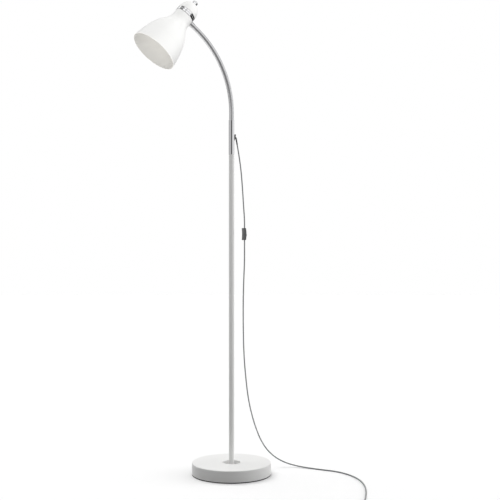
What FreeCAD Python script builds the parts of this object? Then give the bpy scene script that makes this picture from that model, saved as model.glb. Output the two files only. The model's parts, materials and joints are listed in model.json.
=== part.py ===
import FreeCAD, Part
import math
import os

# Gooseneck reading floor lamp. Millimetres, +Z up, floor at Z = 0.
# The origin is the centre of the base's underside and the pole stands on the Z axis.
# The neck bends in the XZ plane, towards -X.

V = FreeCAD.Vector

# ---- fits and clearances ----
fit_gap = 0.10            # radial gap of a piece seated in or on another
joint_gap = 0.30          # gap between pieces that move against each other
pin_gap = 0.06            # radial running clearance of the rocker's pivot

# ---- base ----
base_radius = 125.0
base_height = 38.0        # floor to top face
foot_height = 3.0
foot_inset = 0.4
cover_wall = 1.5
cover_edge_radius = 2.5
recess_radius = 28.0
recess_depth = 14.0
recess_lip_radius = 1.2
plate_thickness = 1.2
weight_gap = 0.5
bolt_radius = 4.0
bolt_head_radius = 7.4
bolt_head_height = 5.3
bolt_grip = 22.0          # thread held in the pole's foot insert
bolt_pocket_depth = 10.0
bolt_pocket_radius = 14.0
washer_radius = 12.0
washer_thickness = 1.5

# ---- pole ----
pole_radius = 8.5
pole_wall = 1.2
pole_section_length = 493.5
pole_plug_length = 25.0   # length of each threaded insert in a tube

# ---- chrome tube at the top of the pole ----
neck_tube_radius = 9.0
neck_tube_length = 109.0
neck_tube_rounding = 0.8
cord_hole_radius = 3.1
cord_hole_rise = 55.0     # above the pole's top

# ---- gooseneck ----
neck_radius = 7.7
neck_bore_radius = 3.3
neck_lead_radius = 3.0
neck_first_pivot_rise = 4.0    # first pivot above the chrome tube's top
neck_root_depth = 25.0         # depth of the fixed end in the chrome tube
neck_straight = 19.0           # straight run above the first pivot
neck_bend_radius = 320.0
neck_bend_angle = 51.0
neck_link_length = 38.0
neck_link_count = 7

# ---- head ----
stem_reach = 59.25        # end of the bend to the head's axis
stem_height = 152.3       # rim plane to the stem's axis, along the head's axis
stem_tilt = 1.2           # angle of the stem above square to the head's axis
collar_radius = 8.7
collar_length = 12.5
collar_socket_depth = 8.0
collar_rounding = 1.0
nipple_radius = 4.8
nipple_bore_radius = 3.3
nipple_inner_end = 20.5
nut_radius = 8.5
nut_height = 2.8
shade_wall = 1.0
shade_rim_radius = 75.0
shade_neck_radius = 30.5
shade_neck_drop = 14.0    # straight neck begins this far below the stem's axis
shade_shoulder_rise = 1.5  # shoulder, and lower edge of the ring, above the stem's axis
shade_profile = [         # (share of the flare, share of the height) from the rim to the neck
    (1.0, 0.0), (0.942, 0.147), (0.829, 0.3235), (0.652, 0.522), (0.382, 0.706),
    (0.193, 0.805), (0.049, 0.897), (0.011, 0.945), (0.0, 1.0),
]
spigot_radius = 29.8
spigot_height = 6.5
ring_radius = 31.6
ring_height = 14.2
ring_groove_depth = 0.7
ring_groove_width = 1.6
ring_edge = 1.0
cap_radius = 31.2
cap_rise = 37.4
cap_wall = 1.0
cap_profile = [            # (share of the radius, share of the rise) from rim to crown
    (0.989, 0.155), (0.963, 0.31), (0.864, 0.577), (0.686, 0.80), (0.542, 0.90), (0.285, 1.0),
]
cap_skirt_gap = 1.0        # between the shade's top edge and the cap's skirt
finial_radius = 8.9
finial_height = 14.0
finial_dome_height = 5.0
finial_edge = 0.6
finial_flute_count = 12
finial_flute_radius = 0.9
rod_radius = 5.0
bracket_thickness = 2.0
bracket_half_width = 9.0
bracket_outer = 27.2
bracket_back = 10.0
bracket_margin = 1.0      # bracket's leg below the stem's nut
holder_top_rise = 14.0    # underside of the bracket's top leg, above the stem's axis
holder_boss_height = 21.0
holder_cap_height = 15.0
holder_skirt_height = 27.0
holder_boss_radius = 7.6
holder_cap_radius = 19.0
holder_skirt_radius = 19.8
holder_wall = 2.0
holder_cap_rounding = 3.0
holder_mouth_rounding = 1.5
holder_seat = 1.0         # block and shell from the joint between cap and skirt
rod_depth = 2.0           # end of the head's rod above the holder's shoulder
shell_bore_radius = 13.3
shell_wall = 0.6
shell_length = 24.0
block_thickness = 6.0
contact_thickness = 0.6
contact_width = 5.0
contact_reach = (-8.0, 6.0)
terminal_head_radius = 2.7
terminal_head_height = 1.6
terminal_slot_width = 0.6
terminal_slot_depth = 0.6
terminal_screw_reach = 6.6
terminal_screw_half_pitch = 6.5
wire_radius = 1.1
wire_spacing = 3.2
wire_reach = 11.0         # head's axis to the wires' way into the lampholder
wire_start = 2.0          # sleeved lead's end inside the nipple
collar_body_depth = 2.0   # collar's blank inside the shade's neck before it is bored to fit

# ---- cord ----
cord_radius = 2.0
grommet_plug_radius = 3.0
grommet_flange_height = 20.0
grommet_flange_width = 7.0
grommet_flange_thickness = 2.4
grommet_flange_stand = 2.2 # middle of the flange outside the chrome tube
grommet_plug_reach = 1.0  # plug end inside the chrome tube
grommet_tilt = 12.0
grommet_nose_radius = 2.4
grommet_nose_reach = 2.6  # straight part of the nose outside the chrome tube
relief_bend_radius = 4.5
relief_drop = 79.0        # angle of the strain relief below horizontal
relief_length = 20.0
relief_end_radius = 2.2
cord_first_run = 30.0     # strain relief to the route's first corner
corner_share = 0.45       # share of each straight run that its rounding takes

# The cord's route: from the first corner below the strain relief to the switch, hanging from
# the switch, and along the floor to the coil.
cord_upper_drops = [      # (x, y, drop below the cord's hole)
    (33.1, -1.0, 104.0), (37.4, -2.0, 158.0), (40.6, -3.1, 213.0),
    (43.8, -4.1, 260.0), (43.8, -4.1, 287.5),
]
cord_hang_height = 740.5  # height of the switch's lower end for which the next list is drawn
cord_hang_points = [      # (x, y, height)
    (43.8, -4.1, 713.0), (43.1, -5.1, 664.0), (41.0, -3.8, 610.0), (40.7, -1.4, 555.0),
    (41.3, 0.5, 500.0), (43.1, 2.9, 445.0), (45.5, 5.1, 392.0), (49.5, 6.4, 341.0),
    (55.3, 8.0, 292.0), (62.8, 10.9, 244.0), (73.5, 13.4, 198.0), (87.1, 15.5, 155.0),
    (102.9, 17.6, 116.0), (120.4, 22.3, 84.5), (144.1, 26.0, 54.0),
]
cord_floor_points = [     # (x, y, height above where it rests on the floor)
    (172.2, 21.9, 27.0), (201.7, 7.1, 10.5), (230.3, -16.2, 2.5), (257.0, -49.8, 0.0),
    (282.4, -88.4, 0.0), (311.4, -128.7, 0.0), (323.3, -182.8, 0.0), (319.6, -236.9, 0.0),
    (303.8, -289.4, 0.0), (279.5, -339.9, 0.0), (250.4, -386.8, 0.0), (218.0, -432.1, 0.1),
    (189.3, -470.3, 0.5), (164.2, -504.7, 0.5),
]

# ---- coil of spare cord ----
coil_inner_radius = 16.0
coil_pitch = 5.5
coil_layer_height = 4.5
coil_lower_half_turns = 5
coil_upper_half_turns = 4
coil_exit_run = 20.0      # straight end that leads over the lower turns to the plug
tie_thickness = 0.4
tie_width = 5.0
tie_turn = 200.0          # place of the tie round the coil, in degrees
tie_slack = 0.15
coil_lead = 2.0 * cord_radius  # straight start before the first turn

# ---- inline switch ----
switch_half_length = 19.0
switch_half_width = 7.5
switch_back = 8.9          # cord's line to the back, at the ends
switch_back_middle = 7.85
switch_front = 4.8         # cord's line to the front, at the ends
switch_front_middle = 6.4
switch_wall = 1.6
switch_edge = 0.7         # size of the bevels at the cord ends
switch_back_x = -3.6      # floor of the cavity
switch_cavity_extra = 2.0
switch_turn = -26.7       # the rocker faces this way, about Z
rocker_half_length = 6.9
rocker_half_width = 4.1
rocker_window_gap = 1.1
rocker_side_gap = 0.4
rocker_pivot_x = 2.7
rocker_pin_radius = 1.0
rocker_pin_reach = 1.2
rocker_top_x = 6.2        # at the rocker's two ends
rocker_crown = 0.5        # rise of its middle over its ends
rocker_floor_x = 1.5
rocker_relief = 0.9       # underside slopes away from the pivot by this much
rocker_clearance = 0.6    # cavity wall beyond the rocker's underside
rocker_tilt = 7.0
switch_screw_radius = 1.2
switch_screw_z = 14.0
switch_screw_top = 2.8
switch_screw_sink = 0.2   # screw end below the back's face
switch_contact_thickness = 0.6
switch_contact_width = 3.0
switch_contact_half_length = 7.5
switch_contact_half_pitch = 2.6

# ---- plug ----
plug_nose_length = 24.0
plug_nose_end_radius = 4.2
plug_length = 36.0
plug_waist_width = 15.0
plug_face_width = 35.0
plug_edge_radius = 2.0
plug_waist_share = 0.45   # share of the length that keeps the waist's width
plug_face_depth = 9.0     # length that has the face's full width
pin_radius = 2.0
pin_length = 19.0
pin_spacing = 18.6
pin_tip_rounding = 1.6

# ---- worked out from the sizes above ----
cover_base_z = foot_height
recess_floor_z = base_height - recess_depth
plate_top_z = foot_height + plate_thickness
bolt_seat_z = plate_top_z + bolt_pocket_depth
pole_base_z = recess_floor_z
pole_split_z = pole_base_z + pole_section_length
pole_top_z = pole_split_z + pole_section_length
pole_inner_radius = pole_radius - pole_wall
neck_tube_top_z = pole_top_z + neck_tube_length
neck_tube_inner_radius = neck_radius + fit_gap
cord_hole_z = pole_top_z + cord_hole_rise
neck_pivot_z = neck_tube_top_z + neck_first_pivot_rise
neck_bend_start_z = neck_pivot_z + neck_straight
neck_arc_length = neck_bend_radius * math.radians(neck_bend_angle)
neck_bend_end = neck_straight + neck_arc_length
collar_inner_face = shade_neck_radius + fit_gap
collar_outer_face = collar_inner_face + collar_length
neck_tip_end = neck_bend_end + stem_reach - collar_outer_face + collar_socket_depth
shade_shoulder_height = stem_height + shade_shoulder_rise
shade_top_height = shade_shoulder_height + spigot_height
holder_top = stem_height + holder_top_rise
holder_shoulder = holder_top - holder_boss_height
holder_split = holder_shoulder - holder_cap_height
holder_mouth = holder_split - holder_skirt_height
coil_lower_z = cord_radius + cord_floor_points[-1][2]
coil_upper_z = coil_lower_z + coil_layer_height

solids_made = []


def save(name, *solids):
    """Writes one node from its solids, and remembers its volume."""
    shape = solids[0] if len(solids) == 1 else Part.makeCompound(list(solids))
    shape.exportStep("parts/" + name + ".step")
    solids_made.append((name, shape.Volume, len(shape.Solids), shape.isValid()))


# ---------------------------------------------------------------- small helpers

def revolve(edges):
    """Solid of a closed outline in the XZ plane, turned about Z."""
    return Part.Face(Part.Wire(edges)).revolve(V(0, 0, 0), V(0, 0, 1), 360)


def outline(*corners):
    """Closed outline in the XZ plane. A corner (r, z, "arc") is the middle of an arc."""
    points = [V(c[0], 0, c[1]) for c in corners]
    edges = []
    i = 0
    while i < len(corners):
        ahead = points[(i + 1) % len(points)]
        if len(corners[(i + 1) % len(corners)]) == 3:
            end = points[(i + 2) % len(points)]
            edges.append(Part.Arc(points[i], ahead, end).toShape())
            i += 2
        else:
            edges.append(Part.makeLine(points[i], ahead))
            i += 1
    return edges


def tube(outer, inner, low, high):
    """Round tube on the Z axis."""
    solid = Part.makeCylinder(outer, high - low, V(0, 0, low))
    return solid.cut(Part.makeCylinder(inner, high - low, V(0, 0, low)))


def rod_z(radius, low, high):
    """Round bar on the Z axis."""
    return Part.makeCylinder(radius, high - low, V(0, 0, low))


def rod_x(radius, low, high, z):
    """Round bar along X at height z."""
    return Part.makeCylinder(radius, high - low, V(low, 0, z), V(1, 0, 0))


def block(low, high):
    """Box from its lowest to its highest corner."""
    size = [b - a for a, b in zip(low, high)]
    return Part.makeBox(size[0], size[1], size[2], V(*low))


def hexagon(radius, height, base, axis):
    """Hexagonal bar from its base centre along an axis."""
    across = V(0, 1, 0)
    side = axis.cross(across)
    corners = []
    for k in range(7):
        turn = math.radians(60 * k)
        corners.append(base + across * (radius * math.cos(turn)) + side * (radius * math.sin(turn)))
    return Part.Face(Part.makePolygon(corners)).extrude(axis * height)


# ---------------------------------------------------------------- base

def base_foot_pad():
    return rod_z(base_radius - foot_inset, 0, foot_height)


def base_bottom_plate():
    outer = base_radius - cover_wall - weight_gap
    return tube(outer, bolt_pocket_radius, foot_height, plate_top_z)


def base_cover():
    r, top, wall, edge = base_radius, base_height, cover_wall, cover_edge_radius
    mid = edge * (1 - math.sqrt(0.5))
    inner = edge - wall
    inner_mid = wall + inner * (1 - math.sqrt(0.5))
    lip = recess_lip_radius
    lip_mid = lip * (1 - math.sqrt(0.5))
    hole = bolt_radius + fit_gap
    return revolve(outline(
        (hole, recess_floor_z), (recess_radius, recess_floor_z), (recess_radius, top - lip),
        (recess_radius + lip_mid, top - lip_mid, "arc"), (recess_radius + lip, top),
        (r - edge, top), (r - mid, top - mid, "arc"), (r, top - edge), (r, cover_base_z),
        (r - wall, cover_base_z), (r - wall, top - edge),
        (r - inner_mid, top - inner_mid, "arc"), (r - edge, top - wall),
        (recess_radius + wall, top - wall), (recess_radius + wall, recess_floor_z - wall),
        (hole, recess_floor_z - wall)))


def base_weight():
    outer = base_radius - cover_wall - weight_gap
    top = base_height - cover_wall - fit_gap
    chamfer = cover_edge_radius
    pocket = recess_radius + cover_wall + weight_gap
    pocket_floor = recess_floor_z - cover_wall - fit_gap
    return revolve(outline(
        (bolt_pocket_radius, plate_top_z), (outer, plate_top_z), (outer, top - chamfer),
        (outer - chamfer, top), (pocket, top), (pocket, pocket_floor),
        (bolt_radius + fit_gap, pocket_floor), (bolt_radius + fit_gap, bolt_seat_z),
        (bolt_pocket_radius, bolt_seat_z)))


def base_washer():
    low = bolt_seat_z - washer_thickness
    return tube(washer_radius, bolt_radius + fit_gap, low, bolt_seat_z)


def base_bolt():
    head_top = bolt_seat_z - washer_thickness
    head = hexagon(bolt_head_radius, bolt_head_height, V(0, 0, head_top - bolt_head_height), V(0, 0, 1))
    return head.fuse(rod_z(bolt_radius, head_top, pole_base_z + bolt_grip)).removeSplitter()


# ---------------------------------------------------------------- pole

def pole_tube(low):
    return tube(pole_radius, pole_inner_radius, low, low + pole_section_length)


def pole_foot_insert():
    plug_radius = pole_inner_radius - fit_gap
    return tube(plug_radius, bolt_radius + fit_gap, pole_base_z, pole_base_z + pole_plug_length)


def pole_coupler():
    low = pole_split_z - pole_plug_length
    return rod_z(pole_inner_radius - fit_gap, low, pole_split_z + pole_plug_length)


def neck_coupler():
    low = rod_z(pole_inner_radius - fit_gap, pole_top_z - pole_plug_length, pole_top_z)
    high = rod_z(neck_tube_inner_radius - fit_gap, pole_top_z, pole_top_z + pole_plug_length)
    return low.fuse(high)


def neck_tube():
    solid = tube(neck_tube_radius, neck_tube_inner_radius, pole_top_z, neck_tube_top_z)
    rim = [e for e in solid.Edges if abs(e.BoundBox.ZMin - neck_tube_top_z) < 0.01
           and e.BoundBox.XMax > neck_tube_radius - 0.1]
    solid = solid.makeFillet(neck_tube_rounding, rim)
    return solid.cut(rod_x(cord_hole_radius, 0, 2 * neck_tube_radius, cord_hole_z))


# ---------------------------------------------------------------- gooseneck

def neck_point(s):
    """Place on the neck's centreline, s from the first pivot."""
    if s <= neck_straight:
        return V(0, 0, neck_pivot_z + s)
    turn = min(s - neck_straight, neck_arc_length) / neck_bend_radius
    x = -neck_bend_radius * (1 - math.cos(turn))
    z = neck_bend_start_z + neck_bend_radius * math.sin(turn)
    return V(x, 0, z) + neck_heading(s) * max(0, s - neck_bend_end)


def neck_heading(s):
    """Direction of the neck's centreline at s."""
    turn = min(max(s - neck_straight, 0), neck_arc_length) / neck_bend_radius
    return V(-math.sin(turn), 0, math.cos(turn))


def neck_bar(start, end, radius):
    """Round bar along the neck's centreline."""
    parts = []
    if start < neck_straight:
        stop = min(end, neck_straight)
        parts.append(Part.makeCylinder(radius, stop - start, neck_point(start)))
    low = max(start, neck_straight)
    high = min(end, neck_bend_end)
    if high > low:
        turn = math.degrees((high - low) / neck_bend_radius)
        disc = Part.Face(Part.Wire(Part.makeCircle(radius, neck_point(low), neck_heading(low))))
        centre = V(-neck_bend_radius, 0, neck_bend_start_z)
        parts.append(disc.revolve(centre, V(0, -1, 0), turn))
    if end > neck_bend_end:
        begin = max(start, neck_bend_end)
        parts.append(Part.makeCylinder(radius, end - begin, neck_point(begin), neck_heading(begin)))
    solid = parts[0]
    for part in parts[1:]:
        solid = solid.fuse(part)
    return solid


def neck_piece(start, end, cup, dome):
    """A length of gooseneck: a hollow cup turns on the dome of the length below."""
    solid = neck_bar(start, end, neck_radius)
    bore_end = end
    if dome:
        solid = solid.fuse(Part.makeSphere(neck_radius, neck_point(end), neck_heading(end), 0, 90, 360))
        bore_end = end + 1.2 * neck_radius
    if cup:
        solid = solid.cut(Part.makeSphere(neck_radius + joint_gap, neck_point(start)))
    return solid.cut(neck_bar(start - 1, bore_end, neck_bore_radius))


def pivot_at(k):
    return k * neck_link_length


def neck_link(k):
    """Link k of the neck. Those that lie wholly in the bend are turned copies of the first."""
    first = math.floor(neck_straight / neck_link_length) + 1
    if k <= first or pivot_at(k + 1) > neck_bend_end:
        return neck_piece(pivot_at(k), pivot_at(k + 1), True, True)
    solid = neck_piece(pivot_at(first), pivot_at(first + 1), True, True)
    turn = math.degrees((pivot_at(k) - pivot_at(first)) / neck_bend_radius)
    solid.rotate(V(-neck_bend_radius, 0, neck_bend_start_z), V(0, -1, 0), turn)
    return solid


def lead_low(pivot):
    """Where the sleeved lead starts again above a pivot."""
    return pivot + neck_radius + 1.5 * joint_gap


def lead_high(pivot):
    """Where the sleeved lead ends inside the dome on a pivot."""
    return pivot + math.sqrt(neck_radius ** 2 - neck_bore_radius ** 2) - 1.5 * joint_gap


# ---------------------------------------------------------------- head
# The head is drawn upright, rim plane at Z = 0 and the neck on its +X side, then tilted.

head_foot = neck_point(neck_bend_end) + neck_heading(neck_bend_end) * stem_reach


def place_head(solid):
    placed = solid.copy()
    placed.translate(V(0, 0, -stem_height))
    placed.rotate(V(0, 0, 0), V(0, 1, 0), 90 - neck_bend_angle + stem_tilt)
    placed.translate(head_foot)
    return placed


def in_line(solid):
    """Turns a piece drawn square to the head's axis into line with the neck."""
    solid.rotate(V(0, 0, stem_height), V(0, 1, 0), -stem_tilt)
    return solid


def nipple_hole():
    return in_line(rod_x(nipple_radius + fit_gap, 0, 2 * shade_neck_radius, stem_height))


def shade_outline(inset):
    """Corners of the bell's wall from the rim up to the neck, moved inwards by inset."""
    flare = shade_rim_radius - shade_neck_radius
    height = stem_height - shade_neck_drop
    corners = [(shade_neck_radius + flare * r - inset, height * z) for r, z in shade_profile]
    return [c + ("arc",) if i % 2 else c for i, c in enumerate(corners)]


def shade():
    outside = shade_outline(0) + [
        (shade_neck_radius, shade_shoulder_height), (spigot_radius, shade_shoulder_height),
        (spigot_radius, shade_top_height), (spigot_radius - shade_wall, shade_top_height),
        (spigot_radius - shade_wall, shade_shoulder_height - shade_wall),
        (shade_neck_radius - shade_wall, shade_shoulder_height - shade_wall),
    ]
    inside = list(reversed(shade_outline(shade_wall)))
    solid = revolve(outline(*(outside + inside)))
    return solid.cut(nipple_hole())


def shade_ring():
    low, high = shade_shoulder_height, shade_shoulder_height + ring_height
    bore = spigot_radius + fit_gap
    middle = (low + high) / 2
    half = ring_groove_width / 2
    groove = ring_radius - ring_groove_depth
    solid = revolve(outline(
        (bore, low), (ring_radius - ring_edge, low), (ring_radius, low + ring_edge),
        (ring_radius, middle - half), (groove, middle, "arc"), (ring_radius, middle + half),
        (ring_radius, high - ring_edge), (ring_radius - ring_edge, high), (bore, high)))
    return solid.cut(nipple_hole())


def cap_outline(radius, base, rise):
    """Corners of the cap's dome, from its rim up to its crown."""
    corners = [(radius, base)] + [(radius * r, base + rise * z) for r, z in cap_profile]
    return [c + ("arc",) if i % 2 else c for i, c in enumerate(corners)]


def cap():
    base = shade_shoulder_height + ring_height + fit_gap
    skirt = spigot_radius
    skirt_low = shade_top_height + cap_skirt_gap
    hole = rod_radius + fit_gap
    outer = cap_outline(cap_radius, base, cap_rise)
    inner = cap_outline(cap_radius - cap_wall, base + cap_wall, cap_rise - 2 * cap_wall)
    inner.reverse()
    crown = base + cap_rise
    corners = [(skirt - cap_wall, skirt_low), (skirt, skirt_low), (skirt, base)]
    corners += outer + [(hole, crown), (hole, crown - cap_wall)] + inner
    corners += [(skirt - cap_wall, base + cap_wall)]
    return revolve(outline(*corners))


def crown_height():
    return shade_shoulder_height + ring_height + fit_gap + cap_rise


def dome_middle(radius, rise):
    """(radius, height) halfway along a round dome's profile, for its rim radius and rise."""
    ball = (radius ** 2 + rise ** 2) / (2 * rise)
    half = math.asin(radius / ball) / 2
    return ball * math.sin(half), rise - ball + ball * math.cos(half)


def finial():
    low = crown_height()
    side_top = low + finial_height - finial_dome_height
    middle = dome_middle(finial_radius, finial_dome_height)
    solid = revolve(outline(
        (0, low), (finial_radius - finial_edge, low), (finial_radius, low + finial_edge),
        (finial_radius, side_top),
        (middle[0], side_top + middle[1], "arc"), (0, low + finial_height)))
    flute_top = side_top - finial_flute_radius
    for k in range(finial_flute_count):
        turn = 2 * math.pi * (k + 0.5) / finial_flute_count
        place = V(finial_radius * math.cos(turn), finial_radius * math.sin(turn), low - 1)
        solid = solid.cut(Part.makeCylinder(finial_flute_radius, flute_top - low + 1, place))
    return solid.cut(rod_z(rod_radius + fit_gap, low - 1, side_top))


def head_rod():
    high = crown_height() + finial_height - finial_dome_height
    return rod_z(rod_radius, holder_shoulder + rod_depth, high)


def holder_bracket():
    t, w = bracket_thickness, bracket_half_width
    low = stem_height - nut_radius - bracket_margin
    leg = block((bracket_outer - t, -w, low), (bracket_outer, w, holder_top + t))
    top = block((-bracket_back, -w, holder_top), (bracket_outer, w, holder_top + t))
    solid = leg.fuse(top).removeSplitter()
    solid = solid.cut(rod_z(rod_radius + fit_gap, holder_top - 1, holder_top + t + 1))
    return solid.cut(nipple_hole())


def stem_nipple():
    end = collar_outer_face - collar_socket_depth
    solid = rod_x(nipple_radius, nipple_inner_end, end, stem_height)
    return in_line(solid.cut(rod_x(nipple_bore_radius, nipple_inner_end, end, stem_height)))


def stem_nut():
    start = bracket_outer - bracket_thickness - nut_height
    rise = start * math.tan(math.radians(stem_tilt))
    solid = hexagon(nut_radius, nut_height, V(start, 0, stem_height + rise), V(1, 0, 0))
    return solid.cut(nipple_hole())


def neck_collar():
    start = collar_inner_face - collar_body_depth
    solid = rod_x(collar_radius, start, collar_outer_face, stem_height)
    rim = [e for e in solid.Edges if e.BoundBox.XMin > collar_outer_face - 0.01]
    solid = solid.makeFillet(collar_rounding, rim)
    socket = collar_outer_face - collar_socket_depth
    solid = solid.cut(rod_x(neck_radius + fit_gap, socket, collar_outer_face + 1, stem_height))
    solid = in_line(solid.cut(rod_x(nipple_radius + fit_gap, 0, socket + 1, stem_height)))
    high = shade_shoulder_height + ring_height
    solid = solid.cut(rod_z(collar_inner_face, 0, high))
    return solid.cut(rod_z(ring_radius + fit_gap, shade_shoulder_height - fit_gap, high))


def lampholder_cap():
    wall = holder_wall
    cavity = holder_cap_radius - wall
    ceiling = holder_shoulder - wall
    hole = rod_radius + fit_gap
    edge = holder_cap_rounding
    mid = edge * (1 - math.sqrt(0.5))
    solid = revolve(outline(
        (hole, holder_top), (holder_boss_radius, holder_top), (holder_boss_radius, holder_shoulder),
        (holder_cap_radius - edge, holder_shoulder),
        (holder_cap_radius - mid, holder_shoulder - mid, "arc"),
        (holder_cap_radius, holder_shoulder - edge), (holder_cap_radius, holder_split),
        (cavity, holder_split), (cavity, ceiling), (hole, ceiling)))
    for side in (-1, 1):
        hole_at = V(wire_reach, side * wire_spacing / 2, ceiling - 1)
        solid = solid.cut(Part.makeCylinder(wire_radius + fit_gap, wall + 2, hole_at))
    return solid


def lampholder_skirt():
    bore = shell_bore_radius + shell_wall + fit_gap
    solid = tube(holder_skirt_radius, bore, holder_mouth, holder_split)
    rim = [e for e in solid.Edges if e.BoundBox.ZMax < holder_mouth + 0.01
           and e.BoundBox.XMax > holder_skirt_radius - 0.1]
    return solid.makeFillet(holder_mouth_rounding, rim)


def screw_shell():
    low = holder_split - shell_length - holder_seat
    return tube(shell_bore_radius + shell_wall, shell_bore_radius, low, low + shell_length)


def lampholder_block():
    radius = holder_cap_radius - holder_wall - fit_gap
    low = holder_split + holder_seat
    return rod_z(radius, low, low + block_thickness)


def centre_contact():
    low = holder_split + holder_seat - contact_thickness
    back, front = contact_reach
    half = contact_width / 2
    return block((back, -half, low), (front, half, low + contact_thickness))


def terminal_screws():
    low = holder_split + holder_seat + block_thickness
    high = low + terminal_head_height
    half = terminal_slot_width / 2
    wide = 2 * terminal_head_radius
    made = []
    for side in (-1, 1):
        place = V(-terminal_screw_reach, side * terminal_screw_half_pitch, low)
        head = Part.makeCylinder(terminal_head_radius, terminal_head_height, place)
        slot_low = (place.x - wide, place.y - half, high - terminal_slot_depth)
        made.append(head.cut(block(slot_low, (place.x + wide, place.y + half, high + 1))))
    return made


def head_wires():
    """The two cores from the stem's nipple into the lampholder."""
    made = []
    low = holder_split + holder_seat + block_thickness
    bend = stem_height - holder_shoulder
    inset = bend * (1 - math.sqrt(0.5))
    for side in (-1, 1):
        y = side * wire_spacing / 2
        start = V(neck_inner_x() - fit_gap, y, stem_height)
        turn = V(wire_reach + bend, y, stem_height)
        middle = V(wire_reach + inset, y, stem_height - inset)
        down = V(wire_reach, y, stem_height - bend)
        wire = Part.Wire([
            Part.makeLine(start, turn), Part.Arc(turn, middle, down).toShape(),
            Part.makeLine(down, V(wire_reach, y, low))])
        profile = Part.Wire(Part.makeCircle(wire_radius, start, V(-1, 0, 0)))
        made.append(wire.makePipeShell([profile], True, False))
    return made


def neck_inner_x():
    """Inner end of the sleeved lead, inside the nipple, on the head's X axis."""
    return nipple_inner_end + wire_start


# ---------------------------------------------------------------- cord

def rounded_route(corners, label):
    """Wire of straight runs joined by tangent arcs through a list of corners."""
    edges = []
    last = corners[0]
    radii = []
    for before, corner, after in zip(corners, corners[1:], corners[2:]):
        back = before - corner
        ahead = after - corner
        run = min(back.Length, ahead.Length)
        turn = math.pi - back.getAngle(ahead)
        trim = corner_share * run
        radii.append(trim / math.tan(turn / 2))
        start = corner + back.normalize() * trim
        end = corner + ahead.normalize() * trim
        inward = (back + ahead).normalize()
        centre = corner + inward * (trim / math.sin(turn / 2))
        middle = centre - inward * radii[-1]
        edges.append(Part.LineSegment(last, start).toShape())
        edges.append(Part.Arc(start, middle, end).toShape())
        last = end
    edges.append(Part.LineSegment(last, corners[-1]).toShape())
    wire = Part.Wire(edges)
    print(label, "length", round(wire.Length, 1), "arc radii", [round(r) for r in radii])
    return wire


def cord_tube(wire, label):
    start = wire.Edges[0].Vertexes[0].Point
    heading = wire.Edges[0].tangentAt(wire.Edges[0].FirstParameter)
    profile = Part.Wire(Part.makeCircle(cord_radius, start, heading))
    solid = wire.makePipeShell([profile], True, False)
    expected = math.pi * cord_radius ** 2 * wire.Length
    print(label, "volume over section times length", round(solid.Volume / expected, 5))
    return solid


def nose_end():
    """Where the grommet's nose starts to bend down."""
    return V(neck_tube_radius + grommet_nose_reach, 0, cord_hole_z)


def relief_start():
    """Where the strain relief's cone begins."""
    drop = math.radians(relief_drop)
    bend = relief_bend_radius
    return nose_end() + V(bend * math.sin(drop), 0, -bend * (1 - math.cos(drop)))


def relief_end():
    return relief_start() + relief_heading() * relief_length


def relief_heading():
    drop = math.radians(relief_drop)
    return V(math.cos(drop), 0, -math.sin(drop))


def cord_upper_points():
    """Corners of the route from the strain relief to the switch."""
    first = relief_end() + relief_heading() * cord_first_run
    corners = [V(x, y, cord_hole_z - drop) for x, y, drop in cord_upper_drops]
    return [relief_end(), first] + corners


def switch_middle():
    return cord_upper_points()[-1] - V(0, 0, switch_half_length)


def cord_lower_points():
    """Corners of the route from the switch to the coil."""
    top = switch_middle() - V(0, 0, switch_half_length)
    stretch = top.z / cord_hang_height
    hanging = [V(x, y, z * stretch) for x, y, z in cord_hang_points]
    floor = [V(x, y, cord_radius + z) for x, y, z in cord_floor_points]
    return [top] + hanging + floor


def cord_grommet():
    heading = relief_heading()
    nose = nose_end()
    cone = Part.makeCone(grommet_nose_radius, relief_end_radius, relief_length, relief_start(), heading)
    disc = Part.Face(Part.Wire(Part.makeCircle(grommet_nose_radius, nose, V(1, 0, 0))))
    elbow = disc.revolve(nose - V(0, 0, relief_bend_radius), V(0, 1, 0), relief_drop)
    root = neck_tube_radius - grommet_plug_reach
    straight = rod_x(grommet_nose_radius, root, nose.x, nose.z)
    half = grommet_flange_width / 2
    middle = grommet_flange_height / 2 - half
    centre = neck_tube_radius + grommet_flange_stand
    low = centre - grommet_flange_thickness / 2
    high = centre + grommet_flange_thickness / 2
    flange = block((low, -half, cord_hole_z - middle), (high, half, cord_hole_z + middle))
    for side in (-1, 1):
        flange = flange.fuse(rod_x(half, low, high, cord_hole_z + side * middle))
    flange.rotate(V(centre, 0, cord_hole_z), V(0, 1, 0), grommet_tilt)
    clear_low = cord_hole_z - grommet_flange_height
    clear = rod_z(neck_tube_radius + fit_gap, clear_low, cord_hole_z + grommet_flange_height)
    body = flange.fuse(straight).cut(clear)
    body = body.fuse(elbow).fuse(cone)
    plug_low = neck_tube_inner_radius - grommet_plug_reach
    plug = rod_x(grommet_plug_radius, plug_low, centre, cord_hole_z)
    return body.fuse(plug).removeSplitter()


def inner_flex():
    """The flex inside the chrome tube, from the grommet up to the sleeved lead."""
    start = V(neck_tube_inner_radius - grommet_plug_reach, 0, cord_hole_z)
    r = start.x
    centre = V(start.x, 0, cord_hole_z + r)
    middle = centre + V(-math.sqrt(0.5), 0, -math.sqrt(0.5)) * r
    end = V(0, 0, cord_hole_z + r)
    top = V(0, 0, neck_tube_top_z - neck_root_depth)
    wire = Part.Wire([Part.Arc(start, middle, end).toShape(), Part.makeLine(end, top)])
    profile = Part.Wire(Part.makeCircle(cord_radius, start, V(-1, 0, 0)))
    return wire.makePipeShell([profile], True, False)


# ---------------------------------------------------------------- coil of spare cord

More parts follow.
